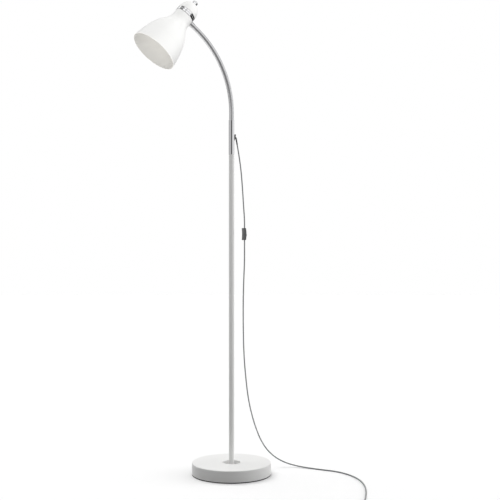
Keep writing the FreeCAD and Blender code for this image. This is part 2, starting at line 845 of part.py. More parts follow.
def biarc(p0, t0, p1, t1):
    """Two tangent arcs from p0 along t0 to p1 along t1."""
    v = p1 - p0
    t = t0 + t1
    k = 2 * (1 - t0.dot(t1))
    d = (-v.dot(t) + math.sqrt(v.dot(t) ** 2 + k * v.dot(v))) / k
    join = (p0 + p1 + (t0 - t1) * d) * 0.5
    return [arc_from(p0, t0, join), arc_from(p1, t1 * -1, join, True)]


def arc_from(start, heading, end, reverse=False):
    """Arc that leaves start along heading and reaches end."""
    chord = end - start
    side = (chord - heading * chord.dot(heading)).normalize()
    radius = chord.dot(chord) / (2 * chord.dot(side))
    centre = start + side * radius
    middle = centre + ((start - centre) + (end - centre)).normalize() * radius
    if chord.dot(heading) < 0:
        middle = centre - ((start - centre) + (end - centre)).normalize() * radius
    return Part.Arc(end, middle, start) if reverse else Part.Arc(start, middle, end)


def coil_frame():
    """Start point of the coil, its heading, and the direction from its centre to the start."""
    before, start = cord_lower_points()[-2:]
    heading = V(start.x - before.x, start.y - before.y, 0).normalize()
    outward = V(heading.y, -heading.x, 0)
    return start, heading, outward


def coil_stations():
    """(distance from the centre, signed along the outward line, and height) each half turn."""
    step = coil_pitch / 2
    radius = coil_inner_radius + step * coil_lower_half_turns
    stations = [(radius, coil_lower_z)]
    side = 1
    for _ in range(coil_lower_half_turns):
        radius -= step
        side = -side
        stations.append((side * radius, coil_lower_z))
    side = -side
    stations.append((side * radius, coil_upper_z))
    for _ in range(coil_upper_half_turns):
        radius += step
        side = -side
        stations.append((side * radius, coil_upper_z))
    return stations


def coil_wire():
    start, heading, outward = coil_frame()
    stations = coil_stations()
    centre = V(start.x, start.y, 0) - outward * stations[0][0] + heading * coil_lead
    points = [centre + outward * s + V(0, 0, z) for s, z in stations]
    edges = [Part.LineSegment(V(start.x, start.y, points[0].z), points[0]).toShape()]
    tangent = heading
    for a, b in zip(points, points[1:]):
        for arc in biarc(a, tangent, b, tangent * -1):
            edges.append(arc.toShape())
        tangent = tangent * -1
    exit_point = points[-1] + tangent * coil_exit_run
    edges.append(Part.LineSegment(points[-1], exit_point).toShape())
    return Part.Wire(Part.__sortEdges__(edges)), centre, exit_point, tangent


def print_coil_gap(wire):
    """Least gap of the coil's cord to itself, measured on points along it."""
    count = 900
    points = wire.discretize(count)
    skip = int(count * 6 * cord_radius / wire.Length)
    least = min((points[i] - points[j]).Length
                for i in range(0, count, 2) for j in range(i + skip, count, 2))
    print("coil length", round(wire.Length, 1), "least gap to itself", round(least - 2 * cord_radius, 2))


def coil_tie(centre):
    start, heading, outward = coil_frame()
    stations = coil_stations()
    reach = max(abs(s) for s, z in stations)
    slack = cord_radius + tie_slack
    inner_low = (coil_inner_radius - coil_pitch / 2 - slack, stations[0][1] - slack)
    inner_high = (reach + slack, coil_upper_z + slack)
    t = tie_thickness
    half = tie_width / 2
    low, high = stations[0][1] - slack - t, coil_upper_z + slack + t
    outer = block((inner_low[0] - t, -half, low), (inner_high[0] + t, half, high))
    hollow = block((inner_low[0], -tie_width, low + t), (inner_high[0], tie_width, high - t))
    band = outer.cut(hollow)
    band.rotate(V(0, 0, 0), V(0, 0, 1), tie_turn + math.degrees(math.atan2(outward.y, outward.x)))
    band.translate(centre)
    return band


# ---------------------------------------------------------------- inline switch

def place_switch(solid):
    placed = solid.copy()
    placed.rotate(V(0, 0, 0), V(0, 0, 1), switch_turn)
    placed.translate(switch_middle())
    return placed


def switch_body():
    """Bar with a hollow back and a crowned front: thickness on X, width on Y, the cord along Z."""
    h, back, front, edge = switch_half_length, -switch_back, switch_front, switch_edge
    side = h - edge
    points = [V(back + edge, 0, -h), V(front - edge, 0, -h), V(front, 0, -side),
              V(front, 0, side), V(front - edge, 0, h), V(back + edge, 0, h),
              V(back, 0, side), V(back, 0, -side)]
    edges = [Part.makeLine(a, b) for a, b in zip(points, points[1:] + points[:1])]
    edges[2] = Part.Arc(points[2], V(switch_front_middle, 0, 0), points[3]).toShape()
    edges[6] = Part.Arc(points[6], V(-switch_back_middle, 0, 0), points[7]).toShape()
    face = Part.Face(Part.Wire(edges))
    face.translate(V(0, -switch_half_width, 0))
    return face.extrude(V(0, 2 * switch_half_width, 0))


def switch_cavity():
    wide = switch_half_width - switch_wall
    tall = rocker_half_length + rocker_window_gap + switch_cavity_extra
    return block((switch_back_x, -wide, -tall), (rocker_floor_x + rocker_clearance, wide, tall))


def rocker_window():
    wide = rocker_half_width + rocker_side_gap
    tall = rocker_half_length + rocker_window_gap
    return block((0, -wide, -tall), (2 * rocker_top_x, wide, tall))


def switch_half(low_x, high_x):
    big = 2 * switch_half_length
    keep = block((low_x, -big, -big), (high_x, big, big))
    solid = switch_body().common(keep).cut(switch_cavity())
    for z in (-switch_screw_z, switch_screw_z):
        solid = solid.cut(rod_x(switch_screw_radius + pin_gap, -big, switch_screw_top + fit_gap, z))
    return solid


def switch_base():
    return switch_half(-2 * switch_half_length, -fit_gap / 2)


def switch_cover():
    solid = switch_half(fit_gap / 2, 2 * switch_half_length).cut(rocker_window())
    reach = rocker_half_width + rocker_side_gap + rocker_pin_reach + pin_gap
    pin_hole = Part.makeCylinder(rocker_pin_radius + pin_gap, 2 * reach,
                                 V(rocker_pivot_x, -reach, 0), V(0, 1, 0))
    return solid.cut(pin_hole)


def switch_rocker():
    """Rocker with its two pivot pins, pressed at one end."""
    h, w, x = rocker_half_length, rocker_half_width, rocker_top_x
    low = rocker_floor_x
    edge = low + rocker_relief
    sides = Part.makePolygon([V(x, 0, -h), V(edge, 0, -h), V(low, 0, 0), V(edge, 0, h), V(x, 0, h)])
    top = Part.Arc(V(x, 0, h), V(x + rocker_crown, 0, 0), V(x, 0, -h)).toShape()
    face = Part.Face(Part.Wire(sides.Edges + [top]))
    face.translate(V(0, -w, 0))
    solid = face.extrude(V(0, 2 * w, 0))
    reach = w + rocker_side_gap + rocker_pin_reach - joint_gap
    pins = Part.makeCylinder(rocker_pin_radius, 2 * reach, V(rocker_pivot_x, -reach, 0), V(0, 1, 0))
    solid = solid.fuse(pins)
    solid.rotate(V(rocker_pivot_x, 0, 0), V(0, 1, 0), -rocker_tilt)
    return solid


def switch_screws():
    made = []
    for z in (-switch_screw_z, switch_screw_z):
        back = -switch_back_middle + switch_screw_sink
        made.append(rod_x(switch_screw_radius, back, switch_screw_top, z))
    return made


def switch_contacts():
    """Two spring strips on the floor of the cavity."""
    made = []
    low, high = switch_back_x, switch_back_x + switch_contact_thickness
    long = switch_contact_half_length
    half = switch_contact_width / 2
    for side in (-1, 1):
        y = side * switch_contact_half_pitch
        made.append(block((low, y - half, -long), (high, y + half, long)))
    return made


# ---------------------------------------------------------------- plug

def place_plug(solid, exit_point, heading):
    """The plug is drawn along +X from the cord's end, flat on the floor."""
    placed = solid.copy()
    placed.rotate(V(0, 0, 0), V(0, 0, 1), math.degrees(math.atan2(heading.y, heading.x)))
    placed.translate(exit_point)
    return placed


def plug_body():
    thick = coil_upper_z
    nose = Part.makeCone(relief_end_radius, plug_nose_end_radius, plug_nose_length, V(0, 0, 0), V(1, 0, 0))
    a, b = plug_nose_length, plug_nose_length + plug_length
    w, f = plug_waist_width / 2, plug_face_width / 2
    waist, face = a + plug_waist_share * plug_length, b - plug_face_depth
    side = [(a, w), (waist, w), (face, f), (b, f)]
    corners = [V(x, -y, -thick) for x, y in side] + [V(x, y, -thick) for x, y in reversed(side)]
    slab = Part.Face(Part.makePolygon(corners + [corners[0]])).extrude(V(0, 0, 2 * thick))
    upright = [e for e in slab.Edges if e.BoundBox.ZLength > thick]
    slab = slab.makeFillet(plug_edge_radius, upright)
    return slab.fuse(nose).removeSplitter()


def plug_pins():
    start = plug_nose_length + plug_length
    made = []
    for side in (-1, 1):
        place = V(start, side * pin_spacing / 2, 0)
        pin = Part.makeCylinder(pin_radius, pin_length, place, V(1, 0, 0))
        tip = [e for e in pin.Edges if e.BoundBox.XMin > start + pin_length - 0.01]
        made.append(pin.makeFillet(pin_tip_rounding, tip))
    return made


# ---------------------------------------------------------------- write the nodes

def build():
    os.makedirs("parts", exist_ok=True)
    save("base_foot_pad", base_foot_pad())
    save("base_bottom_plate", base_bottom_plate())
    save("base_weight", base_weight())
    save("base_cover", base_cover())
    save("base_washer", base_washer())
    save("base_bolt", base_bolt())
    save("pole_foot_insert", pole_foot_insert())
    save("pole_lower_tube", pole_tube(pole_base_z))
    save("pole_coupler", pole_coupler())
    save("pole_upper_tube", pole_tube(pole_split_z))
    save("neck_coupler", neck_coupler())
    save("neck_tube", neck_tube())

    last_pivot = pivot_at(neck_link_count)
    root_low = -neck_first_pivot_rise - neck_root_depth
    save("neck_root", neck_piece(root_low, 0, False, True))
    save("neck_lead_root", neck_bar(root_low, lead_high(0), neck_lead_radius))
    for k in range(neck_link_count):
        name = str(k + 1)
        save("neck_link_" + name, neck_link(k))
        lead = neck_bar(lead_low(pivot_at(k)), lead_high(pivot_at(k + 1)), neck_lead_radius)
        save("neck_lead_" + name, lead)
    save("neck_tip", neck_piece(last_pivot, neck_tip_end, True, False))
    tip_high = neck_bend_end + stem_reach - neck_inner_x()
    save("neck_lead_tip", neck_bar(lead_low(last_pivot), tip_high, neck_lead_radius))

    save("neck_collar", place_head(neck_collar()))
    save("stem_nipple", place_head(stem_nipple()))
    save("stem_nut", place_head(stem_nut()))
    save("shade", place_head(shade()))
    save("shade_ring", place_head(shade_ring()))
    save("cap", place_head(cap()))
    save("finial", place_head(finial()))
    save("head_rod", place_head(head_rod()))
    save("holder_bracket", place_head(holder_bracket()))
    save("lampholder_cap", place_head(lampholder_cap()))
    save("lampholder_skirt", place_head(lampholder_skirt()))
    save("lampholder_block", place_head(lampholder_block()))
    save("screw_shell", place_head(screw_shell()))
    save("centre_contact", place_head(centre_contact()))
    save("terminal_screws", *[place_head(s) for s in terminal_screws()])
    save("head_wires", *[place_head(s) for s in head_wires()])

    save("cord_grommet", cord_grommet())
    save("inner_flex", inner_flex())
    print("cord exit", relief_end())
    save("cord_upper", cord_tube(rounded_route(cord_upper_points(), "upper cord"), "upper cord"))
    save("cord_lower", cord_tube(rounded_route(cord_lower_points(), "lower cord"), "lower cord"))
    wire, centre, exit_point, heading = coil_wire()
    print_coil_gap(wire)
    print("coil centre", centre, "exit", exit_point, "heading", heading)
    save("cord_coil", cord_tube(wire, "coil"))
    save("coil_tie", coil_tie(centre))

    save("switch_base", place_switch(switch_base()))
    save("switch_cover", place_switch(switch_cover()))
    save("switch_rocker", place_switch(switch_rocker()))
    save("switch_screws", *[place_switch(s) for s in switch_screws()])
    save("switch_contacts", *[place_switch(s) for s in switch_contacts()])
    save("plug_body", place_plug(plug_body(), exit_point, heading))
    save("plug_pins", *[place_plug(s, exit_point, heading) for s in plug_pins()])

    for name, volume, count, valid in solids_made:
        print(name, round(volume, 1), count, "" if valid else "NOT VALID")
    print("nodes", len(solids_made))


build()
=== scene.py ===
import itertools
import json
import math

import bmesh
import bpy
from mathutils import Matrix, Vector


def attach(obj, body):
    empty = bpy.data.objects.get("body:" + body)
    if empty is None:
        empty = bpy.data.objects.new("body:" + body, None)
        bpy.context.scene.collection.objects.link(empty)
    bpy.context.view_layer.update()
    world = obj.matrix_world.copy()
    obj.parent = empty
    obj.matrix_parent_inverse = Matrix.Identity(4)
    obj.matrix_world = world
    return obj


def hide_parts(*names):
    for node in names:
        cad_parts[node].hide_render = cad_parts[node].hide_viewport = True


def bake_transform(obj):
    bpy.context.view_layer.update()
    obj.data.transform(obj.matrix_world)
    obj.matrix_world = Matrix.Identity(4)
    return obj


# Gooseneck reading floor lamp. Metres, in the CAD part's own frame.

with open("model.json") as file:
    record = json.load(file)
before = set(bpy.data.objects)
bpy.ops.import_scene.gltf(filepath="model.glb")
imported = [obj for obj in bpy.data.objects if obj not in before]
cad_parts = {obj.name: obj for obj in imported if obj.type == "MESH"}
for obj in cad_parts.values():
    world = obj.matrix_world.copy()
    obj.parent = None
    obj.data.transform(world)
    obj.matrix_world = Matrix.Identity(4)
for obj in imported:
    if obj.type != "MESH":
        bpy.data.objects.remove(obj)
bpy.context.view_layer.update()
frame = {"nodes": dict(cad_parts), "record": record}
nodes = frame["nodes"]

MM = 0.001

# ---- the neck's line, as in the part ----
neck_first_pivot_height = 1.124
neck_straight = 0.019
neck_bend_radius = 0.320
neck_bend_angle = math.radians(51.0)
neck_link_length = 0.038
neck_radius = 0.0077
stem_reach = 0.05925
stem_height = 0.1523
stem_tilt = math.radians(1.2)

# ---- camera, from the photograph's perspective ----
photo_width_px = 500.0
focal_px = 938.0
sensor_width_mm = 36.0
camera_azimuth = math.radians(26.7)
camera_distance = 2.969
camera_aside = 0.0584
camera_height = 0.7089
camera_reach = 50.0


# ---------------------------------------------------------------- materials

noise_roughness = 0.55
patch_detail = 3.0
patch_ends = (0.3, 0.7)              # of the noise, where a surface is darkest and lightest
smear_detail = 5.0
smear_ratio = 2.3                    # how much finer the gloss varies than the colour
least_rough = 0.02
relief_detail = 2.0
relief_strength = 0.6
painted_shade_inside = 0.0270               # painted shade: the paint is darkened in the base's recess up to here, from the upright axis
painted_shade_edge = 0.0278                 # and the paint's full tone is back here, beyond the painted shade
# how far the painted shade in the recess darkens the paint
painted_shade_dimming = 0.66


def new_material(name):
    material = bpy.data.materials.new(name)
    material.use_nodes = True
    tree = material.node_tree
    shader = tree.nodes["Principled BSDF"]
    return material, tree, shader


def link(tree, out_socket, in_socket):
    tree.links.new(out_socket, in_socket)


def noise(tree, scale, detail):
    """Noise in the object's own space, scale in 1/m."""
    where = tree.nodes.new("ShaderNodeTexCoord")
    texture = tree.nodes.new("ShaderNodeTexNoise")
    texture.inputs["Scale"].default_value = scale
    texture.inputs["Detail"].default_value = detail
    texture.inputs["Roughness"].default_value = noise_roughness
    link(tree, where.outputs["Object"], texture.inputs["Vector"])
    return texture.outputs["Fac"]


def ramp(tree, factor, stops):
    node = tree.nodes.new("ShaderNodeValToRGB")
    elements = node.color_ramp.elements
    while len(elements) < len(stops):
        elements.new(0.5)
    for element, (place, colour) in zip(elements, stops):
        element.position = place
        element.color = colour
    link(tree, factor, node.inputs["Fac"])
    return node.outputs["Color"]


def grey(value):
    return (value, value, value, 1.0)


def grey_ramp(tree, factor, levels):
    return ramp(tree, factor, [(place, grey(level)) for place, level in levels])


def tone(colour, factor):
    return tuple(min(1.0, c * factor) for c in colour) + (1.0,)


def rising(tree, value, low, high):
    """0 below low, 1 above high."""
    span = tree.nodes.new("ShaderNodeMapRange")
    span.inputs["From Min"].default_value = low
    span.inputs["From Max"].default_value = high
    link(tree, value, span.inputs["Value"])
    return span.outputs["Result"]


def mixed(tree, factor, first, second):
    mix = tree.nodes.new("ShaderNodeMix")
    mix.data_type = "RGBA"
    link(tree, factor, mix.inputs["Factor"])
    for socket, value in (("A", first), ("B", second)):
        if isinstance(value, tuple):
            mix.inputs[socket].default_value = value
        else:
            link(tree, value, mix.inputs[socket])
    return mix.outputs["Result"]


def painted_recess_shade(material):
    """The paint, darkened in the base's recess: painted shade standing in for the shade inside it."""
    tree = material.node_tree
    shader = tree.nodes["Principled BSDF"]
    where = tree.nodes.new("ShaderNodeTexCoord")
    flat = tree.nodes.new("ShaderNodeVectorMath")
    flat.operation = "MULTIPLY"
    flat.inputs[1].default_value = (1.0, 1.0, 0.0)
    link(tree, where.outputs["Object"], flat.inputs[0])
    reach = tree.nodes.new("ShaderNodeVectorMath")
    reach.operation = "LENGTH"
    link(tree, flat.outputs["Vector"], reach.inputs[0])
    outside = rising(tree, reach.outputs["Value"], painted_shade_inside, painted_shade_edge)
    paint = shader.inputs["Base Color"].links[0].from_socket
    # Painted shade: the paint is multiplied darker inside the recess.
    painted_shade_mix = tree.nodes.new("ShaderNodeMix")
    painted_shade_mix.data_type = "RGBA"
    painted_shade_mix.blend_type = "MULTIPLY"
    painted_shade_mix.inputs["Factor"].default_value = 1.0
    link(tree, paint, painted_shade_mix.inputs["A"])
    link(tree, grey_ramp(tree, outside, [(0.0, painted_shade_dimming), (1.0, 1.0)]), painted_shade_mix.inputs["B"])
    link(tree, painted_shade_mix.outputs["Result"], shader.inputs["Base Color"])
    return material


def surface(name, colour, rough, metallic=0.0, spread=0.05, patch=40.0, rough_spread=0.05,
            bump_scale=0.0, bump_height=0.0, coat=0.0):
    """Principled surface with soft variation in colour and roughness and a fine relief."""
    material, tree, shader = new_material(name)
    low_end, high_end = patch_ends
    patches = noise(tree, patch, patch_detail)
    paint = ramp(tree, patches, [(low_end, tone(colour, 1 - spread)), (high_end, tone(colour, 1 + spread))])
    link(tree, paint, shader.inputs["Base Color"])
    smear = noise(tree, patch * smear_ratio, smear_detail)
    gloss = [(low_end, max(least_rough, rough - rough_spread)), (high_end, rough + rough_spread)]
    link(tree, grey_ramp(tree, smear, gloss), shader.inputs["Roughness"])
    shader.inputs["Metallic"].default_value = metallic
    shader.inputs["Coat Weight"].default_value = coat
    if bump_scale:
        relief = tree.nodes.new("ShaderNodeBump")
        relief.inputs["Strength"].default_value = relief_strength
        relief.inputs["Distance"].default_value = bump_height
        link(tree, noise(tree, bump_scale, relief_detail), relief.inputs["Height"])
        link(tree, relief.outputs["Normal"], shader.inputs["Normal"])
    return material


def powder_coat(name):
    return surface(name, (0.86, 0.86, 0.85), 0.40, spread=0.012, patch=9.0, rough_spread=0.04,
                   bump_scale=900.0, bump_height=0.00006)


white_paint = powder_coat("white_powder_coat")
shade_paint = surface("white_enamel", (0.82, 0.82, 0.81), 0.34, spread=0.010, patch=9.0,
                      rough_spread=0.04, bump_scale=900.0, bump_height=0.00005)
# The base cover's paint, with painted shade in its recess.
base_paint_with_painted_shade = painted_recess_shade(powder_coat("white_base_coat_painted_shade"))
bright_chrome = surface("bright_chrome", (0.93, 0.93, 0.94), 0.05, metallic=1.0, spread=0.02,
                        patch=30.0, rough_spread=0.02)
chrome = surface("chrome_plate", (0.72, 0.72, 0.73), 0.09, metallic=1.0, spread=0.02, patch=30.0,
                 rough_spread=0.035)
ribbed_chrome = surface("chrome_winding", (0.70, 0.70, 0.71), 0.14, metallic=1.0, spread=0.03,
                        patch=60.0, rough_spread=0.04)
zinc = surface("zinc_plate", (0.62, 0.62, 0.60), 0.34, metallic=1.0, spread=0.08, patch=70.0,
               rough_spread=0.08, bump_scale=500.0, bump_height=0.00004)
nickel = surface("nickel_pins", (0.74, 0.73, 0.70), 0.22, metallic=1.0, spread=0.05, patch=120.0,
                 rough_spread=0.06)
brass = surface("stamped_brass", (0.80, 0.60, 0.28), 0.26, metallic=1.0, spread=0.08, patch=90.0,
                rough_spread=0.08)
concrete = surface("cast_filling", (0.50, 0.49, 0.47), 0.85, spread=0.16, patch=45.0,
                   bump_scale=260.0, bump_height=0.0008)
foam_pad = surface("foam_pad", (0.035, 0.035, 0.036), 0.80, spread=0.25, patch=300.0,
                   bump_scale=1400.0, bump_height=0.0002)
cord_sheath = surface("cord_sheath", (0.27, 0.275, 0.28), 0.48, spread=0.08, patch=60.0,
                      rough_spread=0.08, bump_scale=700.0, bump_height=0.00005)
plug_plastic = surface("plug_plastic", (0.115, 0.118, 0.120), 0.46, spread=0.10, patch=80.0,
                       rough_spread=0.07, bump_scale=2200.0, bump_height=0.00006)
switch_back_plastic = surface("switch_back_plastic", (0.215, 0.218, 0.220), 0.46, spread=0.08,
                              patch=80.0, rough_spread=0.07, bump_scale=2200.0, bump_height=0.00006)
switch_front_plastic = surface("switch_front_plastic", (0.150, 0.152, 0.155), 0.42, spread=0.08,
                               patch=80.0, rough_spread=0.07, bump_scale=2200.0, bump_height=0.00006)
rocker_plastic = surface("rocker_plastic", (0.170, 0.172, 0.175), 0.33, spread=0.08, patch=80.0,
                         rough_spread=0.05, bump_scale=2200.0, bump_height=0.00004)
grommet_plastic = surface("grommet_plastic", (0.090, 0.092, 0.095), 0.42, spread=0.15, patch=120.0,
                        rough_spread=0.08, bump_scale=1800.0, bump_height=0.00005)
holder_plastic = surface("holder_plastic", (0.80, 0.79, 0.75), 0.38, spread=0.03, patch=60.0,
                         bump_scale=1500.0, bump_height=0.00005)
porcelain = surface("porcelain", (0.84, 0.83, 0.78), 0.30, spread=0.03, patch=90.0,
                    bump_scale=600.0, bump_height=0.00008, coat=0.3)
sleeve = surface("glass_sleeve", (0.78, 0.76, 0.70), 0.75, spread=0.10, patch=500.0,
                 bump_scale=1800.0, bump_height=0.0002)
wire_plastic = surface("wire_plastic", (0.13, 0.16, 0.24), 0.40, spread=0.10, patch=200.0,
                       bump_scale=1500.0, bump_height=0.00004)
tie_paper = surface("tie_paper", (0.80, 0.80, 0.78), 0.70, spread=0.06, patch=300.0,
                    bump_scale=2500.0, bump_height=0.0001)

slot_materials = {
    "white_paint": white_paint, "chrome": chrome, "zinc_steel": zinc, "concrete": concrete,
    "black_rubber": foam_pad, "lead_sleeve": sleeve, "holder_plastic": holder_plastic,
    "porcelain": porcelain, "brass": brass, "wire_sheath": wire_plastic,
    "cord_plastic": cord_sheath, "tie_plastic": tie_paper, "switch_plastic": plug_plastic,
    "nickel": nickel,
}
node_materials = {"cord_grommet": grommet_plastic, "switch_rocker": rocker_plastic,
                  "switch_base": switch_back_plastic, "switch_cover": switch_front_plastic,
                  "shade": shade_paint, "cap": shade_paint, "base_cover": base_paint_with_painted_shade,
                  "shade_ring": bright_chrome, "finial": bright_chrome}

for part in frame["record"]["subparts"]:
    node = nodes[part["node"]]
    chosen = node_materials.get(part["node"], slot_materials[part["material_slot"]])
    for k in range(len(node.material_slots)):
        node.material_slots[k].material = chosen


# ---------------------------------------------------------------- mesh helpers

def mesh_object(name, points, faces, material, smooth=True):
    mesh = bpy.data.meshes.new(name)
    mesh.from_pydata([tuple(p) for p in points], [], faces)
    mesh.validate()
    for polygon in mesh.polygons:
        polygon.use_smooth = smooth
    mesh.materials.append(material)
    thing = bpy.data.objects.new(name, mesh)
    bpy.context.scene.collection.objects.link(thing)
    return thing


def skin(name, rings, material, capped=False):
    """Surface through rings of equal point counts, closed at its ends where it is capped."""
    count = len(rings[0])
    points = [p for ring in rings for p in ring]
    faces = []
    for i in range(len(rings) - 1):
        for j in range(count):
            a, b = i * count + j, i * count + (j + 1) % count
            faces.append((a, b, b + count, a + count))
    if capped:
        last = (len(rings) - 1) * count
        faces.append(tuple(reversed(range(count))))
        faces.append(tuple(range(last, last + count)))
    return mesh_object(name, points, faces, material)


def ring_at(centre, across, up, radius, count):
    """Circle of points in the plane of two unit vectors."""
    turns = [2 * math.pi * j / count for j in range(count)]
    return [centre + across * (radius * math.cos(t)) + up * (radius * math.sin(t)) for t in turns]


edge_angle = math.radians(35)        # an edge that turns more than this is rounded


def soften(thing, width, segments=2):
    """Small rounded edges."""
    bevel = thing.modifiers.new("edges", "BEVEL")
    bevel.width = width
    bevel.segments = segments
    bevel.limit_method = "ANGLE"
    bevel.angle_limit = edge_angle
    bevel.harden_normals = True
    return thing


# ---------------------------------------------------------------- gooseneck

def neck_heading(s):
    turn = min(max(s - neck_straight, 0.0) / neck_bend_radius, neck_bend_angle)
    return Vector((-math.sin(turn), 0.0, math.cos(turn)))


def neck_point(s):
    """Place on the neck's centreline, s from the first pivot."""
    if s <= neck_straight:
        return Vector((0.0, 0.0, neck_first_pivot_height + s))
    turn = min((s - neck_straight) / neck_bend_radius, neck_bend_angle)
    x = -neck_bend_radius * (1 - math.cos(turn))
    z = neck_first_pivot_height + neck_straight + neck_bend_radius * math.sin(turn)
    beyond = max(0.0, s - neck_straight - neck_bend_radius * neck_bend_angle)
    return Vector((x, 0.0, z)) + neck_heading(s) * beyond


rib_count = 16                       # turns of the winding in one length
rib_pitch = neck_link_length / rib_count
rib_depth = 0.00016
rib_shape = (0.0, 0.10, 0.28, 0.50, 0.72, 0.90)
sleeve_sides = 40
half_link = neck_link_length / 2
first_rib = -20                      # counted from the middle of the first length
last_rib = 129
neck_pivots = 8


def neck_sleeve(name, low_rib, high_rib):
    """Wound tube between two ribs, counted from the middle of the first length."""
    rings = []
    for rib in range(low_rib, high_rib + 1):
        for share in rib_shape if rib < high_rib else rib_shape[:1]:
            s = half_link + (rib + share) * rib_pitch
            heading = neck_heading(s)
            aside = Vector((0.0, 1.0, 0.0))
            off = 2 * share - 1
            radius = neck_radius - rib_depth * (1 - math.sqrt(1 - off * off))
            rings.append(ring_at(neck_point(s), aside, heading.cross(aside), radius, sleeve_sides))
    return skin(name, rings, ribbed_chrome)


neck_nodes = ["neck_root"] + ["neck_link_%d" % k for k in range(1, neck_pivots)] + ["neck_tip"]
for k in range(neck_pivots):
    is_last = k == neck_pivots - 1
    low = first_rib if k == 0 else rib_count * (k - 1)
    high = last_rib if is_last else rib_count * k
    part = neck_sleeve("gooseneck_%d" % (k + 1), low, high)
    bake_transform(part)
    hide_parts(*(neck_nodes[k:] if is_last else neck_nodes[k:k + 1]))


# ---------------------------------------------------------------- head

neck_end = neck_straight + neck_bend_radius * neck_bend_angle
head_foot = neck_point(neck_end) + neck_heading(neck_end) * stem_reach
head_matrix = (Matrix.Translation(head_foot)
               @ Matrix.Rotation(math.pi / 2 - neck_bend_angle + stem_tilt, 4, "Y")
               @ Matrix.Translation((0, 0, -stem_height)))


rim_radius = 74.4 * MM
rim_height = 0.9 * MM
rim_thick = 0.9 * MM                 # radius of the rolled edge's section
rim_sides = 128
rim_steps = 12


def rolled_rim():
    """Rolled edge of the shade, round in section."""
    rings = []
    for k in range(rim_steps + 1):
        turn = 2 * math.pi * k / rim_steps
        centre = Vector((0, 0, rim_height + rim_thick * math.sin(turn)))
        radius = rim_radius + rim_thick * math.cos(turn)
        rings.append(ring_at(centre, Vector((1, 0, 0)), Vector((0, 1, 0)), radius, rim_sides))
    thing = skin("shade_rim_bead", rings, shade_paint)
    thing.data.transform(head_matrix)
    return thing


rim_bead = rolled_rim()
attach(rim_bead, "head")

shell_radius = 13.6 * MM
shell_low = 105.3 * MM
shell_high = 129.3 * MM
shell_wall = 0.3 * MM
shell_sides = 72
shell_steps = 72
thread_pitch = 3.6 * MM
thread_swing = 0.27 * MM             # to each side of the shell's middle radius


def threaded_shell():
    """Thin screw shell of the lampholder, its wall pressed into a thread."""
    rings = []
    for i in range(shell_steps + 1):
        z = shell_low + (shell_high - shell_low) * i / shell_steps
        ring = []
        for j in range(shell_sides):
            turn = 2 * math.pi * j / shell_sides
            radius = shell_radius + thread_swing * math.sin(2 * math.pi * z / thread_pitch - turn)
            ring.append(Vector((radius * math.cos(turn), radius * math.sin(turn), z)))
        rings.append(ring)
    thing = skin("screw_shell_thread", rings, brass)
    thing.data.transform(head_matrix)
    wall = thing.modifiers.new("wall", "SOLIDIFY")
    wall.thickness = shell_wall
    wall.offset = 0
    return thing


shell = threaded_shell()
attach(shell, "head")
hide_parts("screw_shell")


# ---------------------------------------------------------------- cord

cord_radius = 0.002
relief_end = Vector((0.01984, 0.0, 1.04273))
cord_points = [
    # strain relief to the switch
    relief_end, (0.0256, 0, 1.0133), (0.0331, -0.0010, 0.9620), (0.0374, -0.0020, 0.9080),
    (0.0406, -0.0031, 0.8530), (0.0438, -0.0041, 0.8060), (0.0438, -0.0041, 0.7785),
    # switch to the base
    (0.0438, -0.0041, 0.7405), (0.0438, -0.0041, 0.7130), (0.0431, -0.0051, 0.6640),
    (0.0410, -0.0038, 0.6100), (0.0407, -0.0014, 0.5550), (0.0413, 0.0005, 0.5000),
    (0.0431, 0.0029, 0.4450), (0.0455, 0.0051, 0.3920), (0.0495, 0.0064, 0.3410),
    (0.0553, 0.0080, 0.2920), (0.0628, 0.0109, 0.2440), (0.0735, 0.0134, 0.1980),
    (0.0871, 0.0155, 0.1550), (0.1029, 0.0176, 0.1160), (0.1204, 0.0223, 0.0845),
    (0.1441, 0.0260, 0.0540), (0.1722, 0.0219, 0.0290), (0.2017, 0.0071, 0.0125),
    # along the floor
    (0.2303, -0.0162, 0.0045), (0.2570, -0.0498, 0.0020), (0.2824, -0.0884, 0.0020),
    (0.3114, -0.1287, 0.0020), (0.3233, -0.1828, 0.0020), (0.3196, -0.2369, 0.0020),
    (0.3038, -0.2894, 0.0020), (0.2795, -0.3399, 0.0020), (0.2504, -0.3868, 0.0020),
    (0.2180, -0.4321, 0.0021), (0.1893, -0.4703, 0.0025), (0.1642, -0.5047, 0.0025),
]

coil_inner_radius = 0.016
coil_pitch = 0.0055
coil_lower_half_turns = 5
coil_upper_half_turns = 4
coil_lower_z = 0.0025
coil_upper_z = 0.0070
coil_exit_run = 0.020                # straight run from the coil to the plug
coil_exit_first = 0.4                # share of it at which the route has a point
coil_points_per_half_turn = 8


